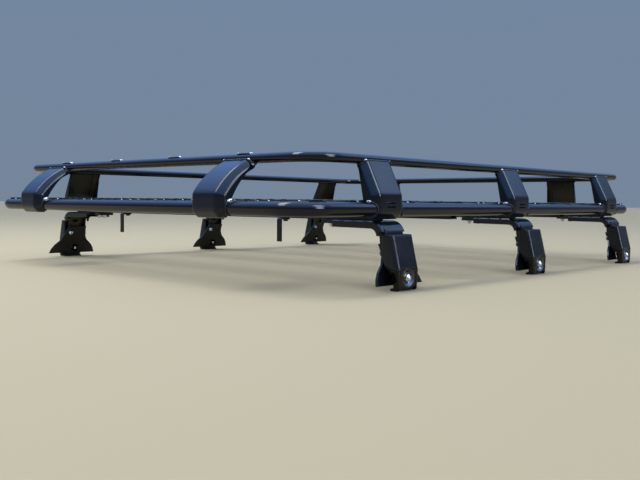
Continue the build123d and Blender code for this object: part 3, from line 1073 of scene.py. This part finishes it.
# Jaw cheeks: the lower sides of each clamp, bent in from the cap's flanks on
# both sides of the hook and cut back above the hook's toe.
cheek_outline = [
    (0.7193, 0.0470), (0.7193, 0.0045), (0.7165, 0.0008), (0.7080, 0.0008),
    (0.7050, 0.0060), (0.7026, 0.0220), (0.6985, 0.0400), (0.7000, 0.0470),
]
cheek_root = 0.0292
cheek_face = 0.0342
cheek_flare = 0.070
for leg, s, y in legs:
    shape = bmesh.new()
    for sy in (1, -1):
        base, rim = [
            [shape.verts.new((s * x, y + sy * (out + flare * z), z)) for x, z in cheek_outline]
            for out, flare in ((cheek_root, 0.0), (cheek_face, cheek_flare))
        ]
        shape.faces.new(base)
        shape.faces.new(rim)
        for k in range(len(base)):
            shape.faces.new((base[k], base[k - 1], rim[k - 1], rim[k]))
        rounds = [shape.edges.get((a, b)) for a, b in zip(rim, rim[-1:] + rim[:-1])]
        bmesh.ops.bevel(shape, geom=rounds, offset=0.0022, segments=4, affect="EDGES")
    bmesh.ops.recalc_face_normals(shape, faces=shape.faces)
    cheeks = shaped(f"jaw_cheeks_{leg}", shape, clamp_paint)
    cheeks.data.set_sharp_from_angle(angle=math.radians(32))
    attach(cheeks, f"jaw_{leg}")

# Clamp bolts: bright plated steel, a domed nut on a dished washer that lines
# the recess of the jaw, with the stud's end showing. The washer's plating is
# coloured dark, a painted reflection of the dark jaw round it.
def plated(name, low, high):
    m, t, shader = blank(name)
    stain = noise(t, add(t, "ShaderNodeTexCoord"), scale=160.0, detail=4.0)
    t.links.new(mixed(t, stain, (*low, 1), (*high, 1)), shader.inputs["Base Color"])
    rough = mapped(t, stain, (0.3, 0.7), onto=(0.12, 0.34))
    t.links.new(rough, shader.inputs["Roughness"])
    shader.inputs["Metallic"].default_value = 1.0
    edges = add(t, "ShaderNodeGroup", {"Radius": 0.0006}, node_tree=edge_group)
    t.links.new(edges.outputs["Normal"], shader.inputs["Normal"])
    return m


bright = plated("bright_plate", (0.62, 0.60, 0.56), (0.86, 0.85, 0.83))
# The washer's dark plating is a painted reflection of the dark jaw around it.
cup_reflection_plate = plated("cup_reflection_plate", (0.055, 0.055, 0.062), (0.17, 0.17, 0.18))
coat("bolt_", bright)


def turned(rings, sides, verts, faces):
    first = len(verts)
    for x, radius in rings:
        for k in range(sides):
            a = 2 * math.pi * k / sides
            verts.append(Vector((x, radius * math.cos(a), radius * math.sin(a))))
    last = first + (len(rings) - 1) * sides
    for a in range(first, last, sides):
        for k in range(sides):
            n = (k + 1) % sides
            faces.append((a + k, a + n, a + sides + n, a + sides + k))
    if rings[0] != rings[-1]:
        faces.append(tuple(first + k for k in reversed(range(sides))))
        faces.append(tuple(last + k for k in range(sides)))


def fitting(name, verts, faces, material, sharp):
    piece = made(name, verts, faces, material)
    faced_outwards(piece)
    piece.data.set_sharp_from_angle(angle=math.radians(sharp))
    return piece


jaw_face = 0.7195
cup_rings = [
    (0.0006, 0.0186), (0.0010, 0.0196), (0.0007, 0.0203), (-0.0001, 0.0205),
    (-0.0001, 0.0198), (0.0002, 0.0192), (-0.0010, 0.0184), (-0.0052, 0.0149),
    (-0.0058, 0.0140), (-0.0058, 0.0068), (-0.0054, 0.0068), (-0.0054, 0.0136),
    (-0.0047, 0.0144), (-0.0006, 0.0178), (0.0006, 0.0186),
]
dome_rings = [
    (0.0028, 0.0062), (0.0036, 0.0060), (0.0050, 0.0050), (0.0059, 0.0034),
    (0.0063, 0.0016), (0.0064, 0.0001),
]
for leg, s, y in legs:
    for label, rings, count, metal in (
        ("cup_washer", cup_rings, 48, cup_reflection_plate),
        ("bolt_dome", dome_rings, 32, bright),
    ):
        verts, faces = [], []
        turned(rings, count, verts, faces)
        verts = [Vector((s * (jaw_face + v.x), y + s * v.y, bolt_z + v.z)) for v in verts]
        ring = fitting(f"{label}_{leg}", verts, faces, metal, sharp=50)
        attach(ring, f"jaw_{leg}")

# Arm nuts: two plated nuts under each arm's inner end, each on a washer, where
# the arm is bolted up through the cross bar.
tip_under = 0.1420
nut_places = (0.524, 0.494)
nut_stack = [
    ([(0, 0.0003), (0, 0.0085), (0.0012, 0.0085), (0.0012, 0.0003)], 24),
    ([(0.0012, 0.0068), (0.0056, 0.0068), (0.0062, 0.0060), (0.0062, 0.0003)], 6),
    ([(0.0062, 0.0038), (0.0092, 0.0038), (0.0096, 0.0034), (0.0096, 0.0002)], 16),
]
for leg, s, y in legs:
    verts, faces = [], []
    for x in nut_places:
        first = len(verts)
        for rings, count in nut_stack:
            turned(rings, count, verts, faces)
        verts[first:] = [Vector((s * x + v.y, y + v.z, tip_under - v.x)) for v in verts[first:]]
    nuts = fitting(f"arm_nuts_{leg}", verts, faces, bright, sharp=35)
    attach(nuts, "rack")

# Foot bolts: one low round-headed bolt on the inner face of each foot plate,
# through the foot and the arm's flange.
head_rings = [
    (0, 0.0082), (0.0012, 0.0082), (0.0014, 0.0066), (0.0034, 0.0056),
    (0.0046, 0.0034), (0.0049, 0.0002),
]
head_x, head_back, head_z = 0.6656, 0.0235, 0.082
lean_in = math.atan(foot_slope)
for leg, s, y in legs:
    verts, faces = [], []
    turned(head_rings, 24, verts, faces)
    spot = Matrix.Translation((s * head_x, y - head_back, head_z))
    facing_in = (math.pi if s > 0 else 0.0) + s * lean_in
    spin = spot @ Matrix.Rotation(facing_in, 4, "Y")
    verts = [spin @ v for v in verts]
    head = fitting(f"foot_bolt_{leg}", verts, faces, bright, sharp=50)
    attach(head, "rack")

# Drop stays: two bent steel strips hung under the first cross bar, each held
# by one small bolt, in a duller coat of the rack's black.
stay_paint = painted(
    "stay_paint", (0.004, 0.0045, 0.006), rough=0.30, ripple=0.5, dust=0.3,
    edge=0.0008, rub=0.5, worn=(0.28, 0.28, 0.28),
)
coat("stay_", stay_paint)

bpy.context.scene.view_settings.view_transform = "Standard"
